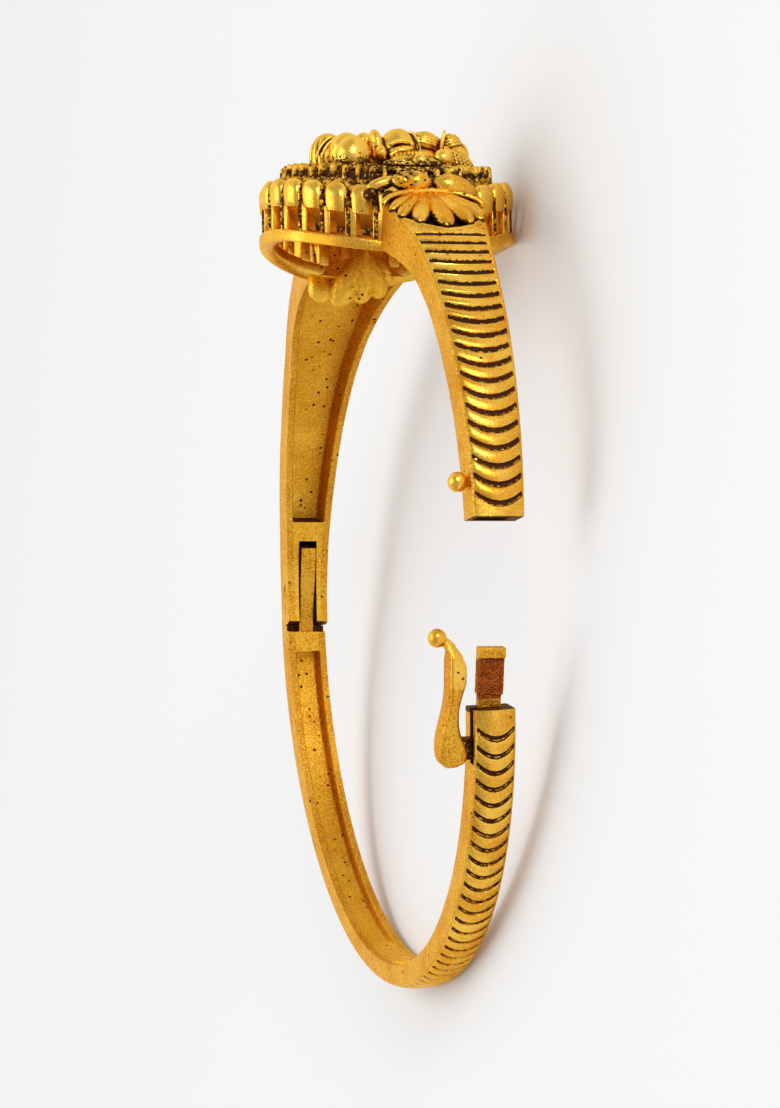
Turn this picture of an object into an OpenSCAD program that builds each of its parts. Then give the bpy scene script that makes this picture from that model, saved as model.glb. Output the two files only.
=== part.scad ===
// Openable temple bangle: a grooved lower half, an upper half with a pierced round
// medallion, a knuckle hinge, a box clasp and a safety lever that hooks over a stud.
//
// The two halves are drawn closed, standing up: X runs from hinge to clasp, Z up to the
// medallion, and Y along the wrist. The upper half is then opened about the hinge pin,
// and the whole bangle is laid on its side, as it rests.

/* [Wrist opening] */
// Inner width, hinge side to clasp side
wrist_w = 60; // [58:0.5:62]
// Inner height above the middle
upper_h = 29.1; // [28.6:0.1:29.6]
// Inner depth below the middle
lower_h = 25.4; // [25:0.1:26]

/* [Lower half] */
// Width of the lower half
lower_w = 3.3; // [3.2:0.05:3.5]
// Radial thickness of the lower half at its ends
lower_end_t = 2.7; // [2.6:0.05:2.9]
// Radial thickness of the lower half at the bottom
lower_mid_t = 1.6; // [1.5:0.05:2]

/* [Upper half] */
// Radial thickness of the arms
arm_t = 2.8; // [2.7:0.05:2.9]
// Radius over which the medallion bends down along the band
bend_r = 27; // [24:1:34]

/* [Surface] */
// Distance from groove to groove along the band
groove_pitch = 1.37; // [1.3:0.01:1.6]
// Width of a groove
groove_w = 0.42; // [0.3:0.02:0.5]
// Depth of a groove
groove_d = 0.2; // [0.1:0.02:0.3]
// How far each groove bows away from the medallion
groove_bow = 0.85; // [0.3:0.05:1]
// Rise of the outer face at its middle
crown = 0.22; // [0.1:0.02:0.3]
// Thickness of the side walls of the hollow back
wall_t = 0.6; // [0.5:0.05:0.7]
// Thickness left under the hollow back
floor_t = 0.95; // [0.85:0.05:1.1]

/* [Hinge] */
// Radius of the hinge pin
pin_r = 0.5; // [0.45:0.01:0.55]
// Radial clearance between the pin and the tongue's bore
pin_clear = 0.04; // [0.02:0.01:0.08]
// Width of the hinge tongue
tongue_w = 1.3; // [1.2:0.05:1.4]
// Length of the hinge tongue above the pin
tongue_reach = 3.8; // [3.4:0.1:4]
// Clearance on each side of the hinge tongue
tongue_clear = 0.15; // [0.1:0.01:0.2]
// Angle by which the bangle is shown open
opening = 13.15; // [0:0.05:13.2]
// Angle by which the upper half leans out of the lower half's plane
lean = 2.8; // [0:0.1:3]

/* [Clasp and lever] */
// Width of the clasp tongue
catch_w = 2.1; // [2:0.05:2.2]
// Height of the clasp tongue above the end of the lower half
catch_h = 4.7; // [4.4:0.1:4.8]
// Radius of the stud's ball
stud_r = 0.8; // [0.76:0.01:0.82]
// Width of the lever along the band's thickness
lever_w = 2.6; // [2.6:0.05:2.8]
// Radius of the lever's grip ball
grip_r = 0.72; // [0.6:0.02:0.8]

/* [Medallion] */
// Outer radius of the petals
medallion_r = 10.64; // [10.4:0.02:10.8]
// Number of petals round the medallion
petals = 28; // [24:2:32]
// Number of teeth round the raised rim
teeth = 48; // [40:4:56]

/* [Hidden] */
gold = [0.86, 0.60, 0.16];
deep_gold = [0.74, 0.42, 0.10];
pale_gold = [0.93, 0.72, 0.28];

half_w = wrist_w / 2;
overshoot = 2;
gap = 0.04;

// The halves part lower at the hinge than at the clasp
hinge_split = -2.5;
clasp_split = 1.1;
split_gap = 0.25;

// The pin sits nearer to the wrist side, and the knuckle is round about it
pin_x = -(half_w + 1.15);
pin_z = hinge_split + 3;
knuckle_r = 3;
knuckle_gap = 0.15;

// Angles along the oval, from the clasp side (0) over the medallion (90)
upper_clasp_a = asin((clasp_split + split_gap) / upper_h);
shoulder_a = 72;
hollow_a = 66.5;
lower_clasp_a = asin(clasp_split / lower_h);
first_groove = 1.6;

// Levels of the medallion at its middle
rim_z0 = 27.0;
rim_z1 = 28.0;
petal_z0 = 29.9;
petal_z1 = 32.35;
plate_z0 = 31.0;
plate_z1 = 31.6;
tooth_z0 = 31.4;
tooth_z1 = 33.7;
ground_z1 = 33.0;
rim_in_r = 9.3;
tier_r = 8.75;
ground_r = 7.9;
post_gap = 0.2;

// Clasp box inside the clasp end of the upper half
socket_x0 = half_w + 0.35;
socket_x1 = half_w + 2.2;
socket_w = catch_w + 0.5;
socket_h = catch_h + 0.7;
catch_x = half_w + 0.5;
catch_y = -0.25;
foot_w = catch_w - 0.3;
foot_t = 0.8;
foot_depth = 0.8;

// Lever pivot on the lower half's side, and the stud that the lever closes over
lever_x = half_w + 1.3;
lever_y = -3.3;
lever_z = -2.0;
lever_pin_r = 0.38;
lug_t = 0.9;
lug_clear = 0.12;
stud_x = lever_x + 0.12;
stud_y = -2.9;
stud_z = 4.25;
stud_neck_r = 0.42;
stud_reach = 1.15;

// Pose at rest on its side: turn about X, turn about Y, then the place of the middle
rest_tilt = -9.9;
rest_roll = -1.65;
rest_place = [-0.367, 8.044, 6.325];

// Steps of a table with rows [angle, value], read at angle a
function between(table, a) = lookup(a, table);

// Width of the arms along the oval, wider towards the medallion
near_width = [[0, 4.0], [20, 4.6], [40, 5.4], [50, 6.2], [58, 7.4], [66, 8.2]];
far_width = [[-8, 3.5], [0, 3.5], [10, 3.8], [20, 4.4], [30, 5.0], [40, 5.8], [50, 7.0],
             [58, 7.8], [66, 8.2]];
function arm_w(a) = a < 90 ? between(near_width, a) : between(far_width, 180 - a);

// How far the wrist face sinks below the oval towards the medallion
shoulder_sink = [[48, 0], [56, 0.8], [66, 2.1], [72, 2.7]];
function sink(a) = between(shoulder_sink, a < 90 ? a : 180 - a);

// A point of the band: share of the thickness out from the wrist, then the Y place
function band_point(a, share, y, h, t_end, t_mid) =
    [(half_w + share * t_end) * cos(a), y, (h + share * t_mid) * sin(a)];

// Millimetres along the band for each degree, near enough for spacing grooves
mm_per_deg = 0.51;

// One cross-section of a band: inner edge, side, grooved outer face, side, inner edge
face_ys = [-0.74, -0.3, 0.3, 0.74];
function band_section(a, w, dip, bow, h, t_end, t_mid, sunk = 0) =
    let (t = t_end * abs(cos(a)) + t_mid * abs(sin(a)), y = w / 2)
    concat(
        [band_point(a, -sunk / t, -y, h, t_end, t_mid), band_point(a, 0.88, -y, h, t_end, t_mid),
         band_point(a, 1, -0.88 * y, h, t_end, t_mid)],
        [for (k = face_ys)
            band_point(a + bow * (1 - pow(k / 0.8, 2)) / mm_per_deg,
                       1 + (crown * (1 - k * k) - dip) / t, k * y, h, t_end, t_mid)],
        [band_point(a, 1, 0.88 * y, h, t_end, t_mid), band_point(a, 0.88, y, h, t_end, t_mid),
         band_point(a, -sunk / t, y, h, t_end, t_mid)]
    );

// One cross-section of a hollow back
function hollow_section(a, w, depth, h, t_end, t_mid, mouth = -0.3) =
    [band_point(a, mouth, -w / 2, h, t_end, t_mid), band_point(a, depth, -w / 2 + 0.15, h, t_end, t_mid),
     band_point(a, depth, w / 2 - 0.15, h, t_end, t_mid), band_point(a, mouth, w / 2, h, t_end, t_mid)];

// Solid through a list of cross-sections that all have the same number of points
module loft(sections) {
    n = len(sections[0]);
    last = len(sections) - 1;
    polyhedron(
        points = [for (s = sections) for (p = s) p],
        faces = concat(
            [[for (i = [0 : n - 1]) i]],
            [for (k = [0 : last - 1]) for (i = [0 : n - 1])
                [k * n + i, (k + 1) * n + (i + 1) % n, k * n + (i + 1) % n]],
            [for (k = [0 : last - 1]) for (i = [0 : n - 1])
                [k * n + i, (k + 1) * n + i, (k + 1) * n + (i + 1) % n]],
            [[for (i = [0 : n - 1]) last * n + n - 1 - i]]
        ),
        convexity = 8);
}

// Closed ring through cross-sections
module ring_loft(sections) {
    n = len(sections[0]);
    m = len(sections);
    polyhedron(
        points = [for (s = sections) for (p = s) p],
        faces = concat(
            [for (k = [0 : m - 1]) for (i = [0 : n - 1])
                [k * n + i, k * n + (i + 1) % n, ((k + 1) % m) * n + (i + 1) % n]],
            [for (k = [0 : m - 1]) for (i = [0 : n - 1])
                [k * n + i, ((k + 1) % m) * n + (i + 1) % n, ((k + 1) % m) * n + i]]
        ),
        convexity = 8);
}

// Angles and groove dips along a band from angle a0 to a1, with the middle of the first
// groove at g0 and the last before g1; each row is [angle, dip]
function grooved_rows(a0, a1, g0, g1) =
    let (step = groove_pitch / mm_per_deg, side = groove_w / 2 / mm_per_deg,
         count = floor((g1 - g0) / step))
    concat([[a0, 0]],
           [for (k = [0 : count]) for (s = [-1, 0, 1]) [g0 + k * step + s * side, s == 0 ? groove_d : 0]],
           [[a1, 0]]);

// Bow fades out at the two ends of a band
function faded_bow(a, a0, a1) = groove_bow * min(1, (a - a0) * mm_per_deg / 1.6, (a1 - a) * mm_per_deg / 1.6);

// Drop of the medallion's parts at distance x from its middle
function bend(x) = x * x / (2 * bend_r);
function polar(r, a, z) = [r * cos(a), r * sin(a), z - bend(r * cos(a))];

// The upper half opened about the hinge pin and leaning out of the lower half's plane
module opened_pose() {
    leaning_pose()
        translate([pin_x, 0, pin_z])
            rotate([0, -opening, 0])
                translate([-pin_x, 0, -pin_z])
                    children();
}

// Pieces of the lower half that stay square to the hinge pin
module leaning_pose() {
    translate([0, 0, hinge_split])
        rotate([-lean, 0, 0])
            translate([0, 0, -hinge_split])
                children();
}

// The bangle laid on its side, lever up, on the medallion's edge and the band's edge
module at_rest() {
    translate(rest_place)
        rotate([rest_tilt, rest_roll, 0])
            rotate([90, 180, 0])
                children();
}

// A cylinder along Y through the point x, z
module cross_pin(x, z, r, length) {
    translate([x, 0, z])
        rotate([90, 0, 0])
            cylinder(r = r, h = length, center = true, $fn = 40);
}

// A box given by its lowest and highest corners
module box(low, high) {
    translate(low)
        cube(high - low);
}

module near_arm_body() {
    a0 = upper_clasp_a;
    rows = concat(grooved_rows(a0, shoulder_a - 16, a0 + first_groove / mm_per_deg, 53),
                  [[60, 0], [64, 0], [68, 0], [shoulder_a, 0]]);
    loft([for (r = rows)
        band_section(r[0], arm_w(r[0]), r[1], -faded_bow(r[0], a0, shoulder_a), upper_h, arm_t, arm_t,
                     sink(r[0]))]);
}

module far_arm_body() {
    a0 = 180 - shoulder_a;
    a1 = 180 - asin(hinge_split / upper_h) + 1.6;
    rows = concat([[a0, 0], [a0 + 4, 0], [a0 + 8, 0], [a0 + 12, 0]],
                  grooved_rows(a0 + 16, a1, 128, a1 - 14));
    loft([for (r = rows)
        band_section(r[0], arm_w(r[0]), r[1], faded_bow(r[0], a0, a1), upper_h, arm_t, arm_t,
                     sink(r[0]))]);
}

// Hollow backs of the two arms, deeper under the shoulders
module arm_hollow(from, to, steps) {
    loft([for (k = [0 : steps])
        let (a = from + (to - from) * k / steps)
        hollow_section(a, arm_w(a) - 2 * wall_t, 1 - floor_t / arm_t, upper_h, arm_t, arm_t,
                       -0.3 - sink(a) / arm_t)]);
}

// Base ring of the gallery, one piece with the arms
module base_ring() {
    ring_loft([for (a = [0 : 7.5 : 352.5])
        [polar(rim_in_r, a, rim_z0), polar(medallion_r - 0.15, a, rim_z0),
         polar(medallion_r, a, rim_z0 + 0.3), polar(medallion_r, a, rim_z1 - 0.2),
         polar(medallion_r - 0.2, a, rim_z1), polar(rim_in_r, a, rim_z1)]]);
}

// Space of the gallery, kept free of the arms: all inside the ring, and all above it
module gallery_space() {
    translate([0, 0, rim_z0 - 6])
        cylinder(r = rim_in_r + 0.2, h = 14, $fn = 90);
    translate([0, 0, rim_z1 - bend(medallion_r)])
        cylinder(r = medallion_r + 2 * gap, h = 14, $fn = 90);
}

// A leaf or petal: a lens from one point to another, six-sided, widest near its tip
lens_place = [0, 0.4, 0.78, 1.03];
lens_size = [0.3, 0.75, 1, 0.45];
module lens(from, to, r) {
    d = to - from;
    l = norm(d);
    translate(from)
        rotate([0, acos(d.z / l), atan2(d.y, d.x)])
            loft([for (k = [0 : 3])
                [for (i = [0 : 5])
                    [lens_size[k] * r * cos(60 * i), lens_size[k] * r * sin(60 * i), lens_place[k] * l]]]);
}

// The fan of petals on the outer face of one arm, its hub against the medallion, and the
// two leaves over the hub
module shoulder_fan() {
    hub = [14.3, 0, 29.2];
    for (k = [-4 : 4]) {
        turn = k * 19;
        tip = [19.2 - 3.1 * abs(sin(turn)), 4.1 * sin(turn), 25.9 + 2.1 * abs(sin(turn))];
        lens(hub + (tip - hub) * 0.12, tip, 0.66);
    }
    for (side = [-1, 1]) {
        lens([14.0, 0.2 * side, 29.7], [13.9, 3.7 * side, 28.9], 0.55);
        lens([12.4, 0.3 * side, 30.4], [12.2, 3.7 * side, 30.0], 1.05);
    }
}

module upper_band() {
    color(gold)
    at_rest() opened_pose()
        difference() {
            union() {
                difference() {
                    union() {
                        near_arm_body();
                        far_arm_body();
                    }
                    arm_hollow(upper_clasp_a + 16, hollow_a, 16);
                    arm_hollow(180 - hollow_a, 170, 16);
                    gallery_space();
                }
                base_ring();
                shoulder_fan();
                mirror([1, 0, 0]) shoulder_fan();
            }
            // Clasp box
            box([socket_x0, catch_y - socket_w / 2, -overshoot],
                [socket_x1, catch_y + socket_w / 2, clasp_split + socket_h]);
            // Knuckle: round end, slot for the tongue and pin bore
            knuckle_waste(knuckle_r, 5);
            translate([stud_x, stud_y + stud_reach + gap, stud_z])
                rotate([90, 0, 0])
                    cylinder(r = stud_neck_r, h = stud_reach, $fn = 28);
            box([-half_w - arm_t - overshoot, -tongue_w / 2 - tongue_clear, hinge_split - overshoot],
                [-half_w + overshoot, tongue_w / 2 + tongue_clear, pin_z + 1.2]);
            box([-half_w - arm_t + 0.6, -tongue_w / 2 - tongue_clear, pin_z],
                [-half_w + overshoot, tongue_w / 2 + tongue_clear, pin_z + tongue_reach + 0.5]);
            cross_pin(pin_x, pin_z, pin_r, 8);
        }
}

// All that lies below the pin and outside radius r about it
module knuckle_waste(r, width) {
    difference() {
        box([pin_x - 6, -width, pin_z - 8], [pin_x + 6, width, pin_z - 1.5]);
        cross_pin(pin_x, pin_z, r, 2 * width + 2);
    }
}

module lower_band_body() {
    a0 = 180 - asin(hinge_split / lower_h) - 8;
    a1 = 360 + lower_clasp_a;
    rows = grooved_rows(a0, a1, a0 + 20, a1 - 4.5);
    loft([for (r = rows)
        let (away = r[0] < 270 ? 1 : -1, near_foot = min(1, abs(r[0] - 270) / 12))
        band_section(r[0], lower_w, r[1], away * near_foot * faded_bow(r[0], a0, a1),
                     lower_h, lower_end_t, lower_mid_t)]);
}

// One hollow back of the lower half
module lower_hollow(from, to, steps) {
    loft([for (k = [0 : steps])
        let (a = from + (to - from) * k / steps,
             t = lower_end_t * abs(cos(a)) + lower_mid_t * abs(sin(a)))
        hollow_section(a, lower_w - 2 * wall_t, 1 - floor_t / t, lower_h, lower_end_t, lower_mid_t)]);
}

// Tongue of the hinge, its foot sunk into the lower half
module hinge_tongue() {
    tongue_t = 1.9;
    foot_z = hinge_split - 1.2;
    box([-half_w - tongue_t, -tongue_w / 2, foot_z], [-half_w, tongue_w / 2, pin_z + tongue_reach]);
}

module lower_band() {
    color(gold)
    at_rest() {
        difference() {
            union() {
                difference() {
                    lower_band_body();
                    lower_hollow(190.5, 263, 24);
                    lower_hollow(277, 349, 24);
                    // Slot beside the outer face at the clasp end
                    box([lever_x + 0.55, -lower_w, lever_z - 1.2],
                        [lever_x + 0.8, -lower_w / 2 + 0.45, clasp_split + overshoot]);
                    // Room for the upper half's round knuckle
                    leaning_pose() cross_pin(pin_x, pin_z, knuckle_r + knuckle_gap, 12);
                }
                leaning_pose() hinge_tongue();
                lever_lug();
            }
            leaning_pose() cross_pin(pin_x, pin_z, pin_r + pin_clear, 8);
            // Seat of the clasp tongue's foot
            leaning_pose()
                box([catch_x - gap, catch_y - foot_w / 2 - gap, clasp_split - foot_depth - gap],
                    [catch_x + foot_t + gap, catch_y + foot_w / 2 + gap, clasp_split + overshoot]);
            x_cylinder(lever_y, lever_z, lever_pin_r + pin_clear, 4);
        }
    }
}

// A cylinder along X through the lever's middle and the point y, z
module x_cylinder(y, z, r, length) {
    translate([lever_x, y, z])
        rotate([0, 90, 0])
            cylinder(r = r, h = length, center = true, $fn = 48);
}

// Lug on the side of the lower half that carries the lever
module lever_lug() {
    x_cylinder(lever_y, lever_z, 0.85, lug_t);
    box([lever_x - lug_t / 2, lever_y, lever_z - 0.85],
        [lever_x + lug_t / 2, -lower_w / 2 + 0.3, lever_z + 0.85]);
}

module hinge_pin() {
    color(pale_gold)
    at_rest() leaning_pose()
        cross_pin(pin_x, pin_z, pin_r, 3.4);
}

// Bent tongue with a lip at its top and a narrower neck at its foot
module clasp_tongue() {
    color(deep_gold)
    at_rest() leaning_pose() {
        y0 = catch_y - catch_w / 2;
        y1 = catch_y + catch_w / 2;
        z1 = clasp_split + catch_h;
        box([catch_x, catch_y - foot_w / 2, clasp_split - foot_depth],
            [catch_x + foot_t, catch_y + foot_w / 2, clasp_split + 1.2]);
        box([catch_x, y0, clasp_split + 1], [catch_x + 0.85, y1, z1]);
        box([catch_x, y0, z1 - 0.8], [catch_x + 1.2, y1, z1]);
    }
}

module catch_stud() {
    color(pale_gold)
    at_rest() opened_pose()
        translate([stud_x, stud_y, stud_z])
            rotate([90, 0, 0]) {
                sphere(r = stud_r, $fn = 32);
                translate([0, 0, -stud_reach])
                    cylinder(r = stud_neck_r, h = stud_reach, $fn = 32);
            }
}

// Side outline of the lever as [y, z], from the foot up the band side and down the back
lever_outline = [[-2.75, -3.2], [-2.15, -2.75], [-1.92, -2.0], [-2.2, -1.1], [-2.62, 0], [-2.7, 0.9],
                 [-2.46, 2.2], [-2.08, 3.4], [-1.95, 4.3], [-2.08, 5.2], [-2.5, 5.75], [-3.3, 5.95],
                 [-3.74, 5.6], [-3.74, 2.9], [-3.8, 1.9], [-4.1, 0.7], [-4.5, -0.8], [-4.68, -2.0],
                 [-4.5, -2.8], [-3.95, -3.25], [-3.3, -3.4]];

module safety_lever() {
    color(gold)
    at_rest()
        difference() {
            union() {
                translate([lever_x, 0, 0])
                    rotate([90, 0, 90])
                        linear_extrude(height = lever_w, center = true)
                            polygon(lever_outline);
                // Neck and grip ball
                translate([lever_x, -3.45, 5.6])
                    rotate([48, 0, 0])
                        cylinder(r = 0.4, h = 1.4, $fn = 32);
                translate([lever_x, -4.23, 6.75])
                    sphere(r = grip_r, $fn = 32);
            }
            // Channel that the stud passes into, open to the band and at the tip
            box([lever_x - lever_w / 2 + 0.25, -3.45, 3.2], [lever_x + lever_w / 2 - 0.25, 0, 8]);
            // Fork over the lug, open to the band and at the foot
            box([lever_x - lug_t / 2 - lug_clear, lever_y - 1.05, lever_z - 3],
                [lever_x + lug_t / 2 + lug_clear, 0, lever_z + 1.15]);
            x_cylinder(lever_y, lever_z, lever_pin_r, 4);
        }
}

module lever_pin() {
    color(pale_gold)
    at_rest()
        x_cylinder(lever_y, lever_z, lever_pin_r, lever_w);
}

// Section of the petal tier at angle a; swell is 0 between two petals and 1 at a petal's middle
function petal_section(a, swell) =
    let (r = medallion_r - 0.6 * (1 - swell), top = petal_z1 - 0.45 * (1 - swell))
    [polar(9.0, a, petal_z0), polar(r - 0.2, a, petal_z0), polar(r, a, petal_z0 + 0.35),
     polar(r, a, top - 1.0), polar(r - 0.35, a, top - 0.3), polar(r - 1.0, a, top),
     polar(tier_r - 0.2, a, top - 0.35), polar(tier_r - 0.2, a, petal_z0 + 0.9)];

// Petal tier, posts, plate and toothed rim
module medallion() {
    color(pale_gold)
    at_rest() opened_pose() {
        // Four sections for each petal
        swell = [0, 0.72, 1, 0.72];
        ring_loft([for (k = [0 : petals - 1]) for (q = [0 : 3])
            petal_section(360 * (k + q / 4) / petals, swell[q])]);
        for (k = [0 : petals - 1])
            translate(polar(medallion_r - 0.9, 360 * k / petals, rim_z1 + post_gap))
                cylinder(r = 0.45, h = petal_z0 - rim_z1 + 0.2, $fn = 6);
        // Plate that closes the top
        ring_loft([for (a = [0 : 15 : 345])
            [polar(0.5, a, plate_z0), polar(tier_r + 0.3, a, plate_z0),
             polar(tier_r + 0.3, a, plate_z1), polar(0.5, a, plate_z1)]]);
        // Toothed rim
        ring_loft([for (k = [0 : teeth - 1]) for (q = [0, 0.25, 0.5, 0.75])
            let (a = 360 * (k + q) / teeth, top = q < 0.5 ? tooth_z1 : tooth_z1 - 0.75)
            [polar(tier_r - 0.75, a, tooth_z0), polar(tier_r + (q < 0.5 ? 0.05 : -0.2), a, tooth_z0),
             polar(tier_r + (q < 0.5 ? 0 : -0.25), a, top), polar(tier_r - 0.75, a, top)]]);
    }
}

// A tapered lump from one point to another, round at both ends
module lump(from, to, r_from, r_to) {
    hull() {
        translate(from) sphere(r = r_from, $fn = 8);
        translate(to) sphere(r = r_to, $fn = 8);
    }
}

// Low relief on the medallion: a bird with its ribbed wing and tail to one side, and
// rounded buds to the other, among leaves
module relief() {
    color(gold)
    at_rest() opened_pose() {
        // Ground
        ring_loft([for (a = [0 : 15 : 345])
            [polar(0.4, a, plate_z1 + gap), polar(ground_r, a, plate_z1 + gap),
             polar(ground_r, a, ground_z1 - 0.2), polar(0.4, a, ground_z1)]]);
        // Leaves round the edge
        for (k = [0 : 11])
            lens(polar(3.8, 30 * k, ground_z1), polar(7.1, 30 * k + 7, ground_z1 + 0.15), 0.92);
        // Buds and the leaf between them
        lump([-1.6, -4.6, 33.6], [-1.2, -4.6, 35.2], 1.7, 1.45);
        lump([2.0, -3.6, 33.4], [2.4, -3.3, 34.3], 1.7, 1.5);
        lump([-1.6, -1.9, 33.8], [-1.8, -1.7, 35.9], 1.2, 0.7);
        // Body, breast and head
        lump([-0.8, 0.4, 33.8], [0.4, 0.8, 35.3], 2.1, 1.65);
        lump([1.4, 0.6, 33.8], [3.8, -0.5, 33.6], 1.5, 1.1);
        lump([-3.6, 0.6, 33.6], [-4.6, 2.6, 33.6], 1.5, 1.2);
        // Wing
        lump([-0.4, 2.4, 34.6], [-0.2, 3.9, 35.3], 1.3, 1.15);
        for (k = [0 : 4])
            lump([0.75 * k - 1.6, 4.2, 35.6 - 0.4 * k], [0.75 * k - 1.6, 6.6 + 0.07 * k, 34.7 - 0.4 * k],
                 0.55, 0.5);
        // Tail
        for (k = [0 : 5])
            lump([3.2 - 0.4 * k, 3.9 + 0.35 * k, 33.7], [4.9 - 0.8 * k, 4.7 + 0.48 * k, 32.9], 0.5, 0.5);
        lump([4.8, 1.8, 32.7], [4.9, 1.9, 33.2], 0.9, 0.75);
        // Ledge at the near edge
        lump([6.7, -1.6, 32.2], [6.7, 3.0, 32.2], 0.5, 0.5);
    }
}

upper_band();
medallion();
relief();
catch_stud();
lower_band();
hinge_pin();
clasp_tongue();
safety_lever();
lever_pin();
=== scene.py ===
"""Temple bangle, lying on its side: cast gold bands, pierced medallion, clasp and safety lever."""
from math import asin, copysign, cos, degrees, pi, radians, sin

import bpy
import numpy as np
from mathutils import Matrix, Vector


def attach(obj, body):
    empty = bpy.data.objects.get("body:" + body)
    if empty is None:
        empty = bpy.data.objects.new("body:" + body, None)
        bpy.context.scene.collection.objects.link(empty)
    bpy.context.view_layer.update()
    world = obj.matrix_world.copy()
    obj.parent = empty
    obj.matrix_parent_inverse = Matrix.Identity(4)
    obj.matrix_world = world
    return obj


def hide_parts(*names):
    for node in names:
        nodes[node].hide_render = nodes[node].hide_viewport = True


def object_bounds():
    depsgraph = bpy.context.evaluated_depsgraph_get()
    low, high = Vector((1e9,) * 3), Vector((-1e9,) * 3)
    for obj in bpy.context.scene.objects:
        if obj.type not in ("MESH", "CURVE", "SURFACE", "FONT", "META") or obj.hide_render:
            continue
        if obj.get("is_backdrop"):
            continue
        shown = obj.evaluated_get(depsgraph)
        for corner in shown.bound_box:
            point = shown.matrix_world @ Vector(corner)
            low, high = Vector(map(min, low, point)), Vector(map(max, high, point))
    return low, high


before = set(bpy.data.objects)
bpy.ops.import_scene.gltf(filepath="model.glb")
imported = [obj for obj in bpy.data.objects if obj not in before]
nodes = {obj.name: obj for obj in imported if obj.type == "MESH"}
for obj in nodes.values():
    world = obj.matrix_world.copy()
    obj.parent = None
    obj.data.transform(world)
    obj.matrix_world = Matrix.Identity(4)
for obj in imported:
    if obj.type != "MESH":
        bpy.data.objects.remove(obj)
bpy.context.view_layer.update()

scene = bpy.context.scene
MM = 0.001

# Places. The bangle is thought of standing up and closed, as a wearer holds it: X from
# hinge to clasp, Y along the wrist, Z to the medallion, in millimetres. These turns open
# its upper half and lay it on its side as it rests.
REST_TILT = radians(-9.9)
REST_ROLL = radians(-1.65)
REST_PLACE = Vector((-0.367, 8.044, 6.325))
OPENING = radians(13.15)
LEAN = radians(2.8)
PIN = Vector((-31.15, 0.0, 0.5))
HINGE_SPLIT = -2.5
STANDING_TO_SIDE = Matrix(((-1, 0, 0), (0, 0, -1), (0, -1, 0))).to_4x4()
LAID = (Matrix.Translation(REST_PLACE) @ Matrix.Rotation(REST_ROLL, 4, "Y")
        @ Matrix.Rotation(REST_TILT, 4, "X") @ STANDING_TO_SIDE)
TO_METRES = Matrix.Diagonal((MM, MM, MM, 1.0))
LEANING = (Matrix.Translation((0, 0, HINGE_SPLIT)) @ Matrix.Rotation(-LEAN, 4, "X")
        @ Matrix.Translation((0, 0, -HINGE_SPLIT)))
OPENED = (LEANING @ Matrix.Translation(PIN) @ Matrix.Rotation(-OPENING, 4, "Y")
        @ Matrix.Translation(-PIN))
UPPER_PLACE = TO_METRES @ LAID @ OPENED
LOWER_PLACE = TO_METRES @ LAID

# The camera as it stood to the bangle: its turns, its distance, how far the photograph's middle
# lies beside and above the bangle's, and its focal length in the photograph's pixels
CAMERA_TURN, CAMERA_RISE, CAMERA_ROLL = 0.2495, 0.1547, -0.0087
CAMERA_BACK, CAMERA_SIDE, CAMERA_UP = 453.44, -0.033, 8.364
FOCAL_PX, PHOTO_PX, SENSOR = 5461.0, 1108.0, 36.0


def in_scene(name, data):
    """A new object of the scene."""
    piece = bpy.data.objects.new(name, data)
    scene.collection.objects.link(piece)
    return piece


def aim_camera():
    """The camera at the photograph's angle to the bangle."""
    flat = cos(CAMERA_RISE)
    back = Vector((cos(CAMERA_TURN) * flat, -sin(CAMERA_TURN) * flat, sin(CAMERA_RISE)))
    right = Vector((sin(CAMERA_TURN), cos(CAMERA_TURN), 0.0))
    up = back.cross(right)
    side = right * cos(CAMERA_ROLL) + up * sin(CAMERA_ROLL)
    top = up * cos(CAMERA_ROLL) - right * sin(CAMERA_ROLL)
    place = side * CAMERA_SIDE + top * CAMERA_UP + back * CAMERA_BACK
    data = bpy.data.cameras.new("camera")
    data.sensor_width = SENSOR
    data.lens = FOCAL_PX * SENSOR / PHOTO_PX
    data.clip_start, data.clip_end = 0.01, 20.0
    camera = in_scene("camera", data)
    laid = LAID @ Matrix.Translation(place) @ Matrix((side, top, back)).transposed().to_4x4()
    camera.matrix_world = (Matrix.Translation(laid.to_translation() * MM)
            @ laid.to_quaternion().to_matrix().to_4x4())
    scene.camera = camera


# Shader nodes. A value is a socket of another node, a number or a colour.


def feed(tree, socket, value):
    """Links a socket to another one, or sets it."""
    if isinstance(value, bpy.types.NodeSocket):
        tree.links.new(value, socket)
    else:
        socket.default_value = value


def add_node(tree, kind, settings=(), **inputs):
    """A node with its settings made and its inputs fed by name; gives its outputs."""
    node = tree.nodes.new("ShaderNode" + kind)
    for key, value in dict(settings).items():
        setattr(node, key, value)
    for label, value in inputs.items():
        feed(tree, node.inputs[label.replace("_", " ")], value)
    return node.outputs


def blend_colours(tree, factor, first, second):
    """A Mix node between two colours."""
    mix = tree.nodes.new("ShaderNodeMix")
    mix.data_type = "RGBA"
    for number, value in ((0, factor), (6, first), (7, second)):
        feed(tree, mix.inputs[number], value)
    return mix.outputs[2]


def reckon(tree, kind, first, second, clamp=False):
    """A Math node."""
    node = tree.nodes.new("ShaderNodeMath")
    node.operation, node.use_clamp = kind, clamp
    feed(tree, node.inputs[0], first)
    feed(tree, node.inputs[1], second)
    return node.outputs[0]


def times(tree, first, second):
    return reckon(tree, "MULTIPLY", first, second)


def plus(tree, first, second, clamp=False):
    return reckon(tree, "ADD", first, second, clamp)


def minus(tree, first, second):
    return reckon(tree, "SUBTRACT", first, second)


def ranged(tree, value, low, high, to_low=0.0, to_high=1.0):
    """A Map Range node, smooth between low and high."""
    return add_node(tree, "MapRange", {"interpolation_type": "SMOOTHSTEP"}, Value=value, From_Min=low,
            From_Max=high, To_Min=to_low, To_Max=to_high)["Result"]


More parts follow.
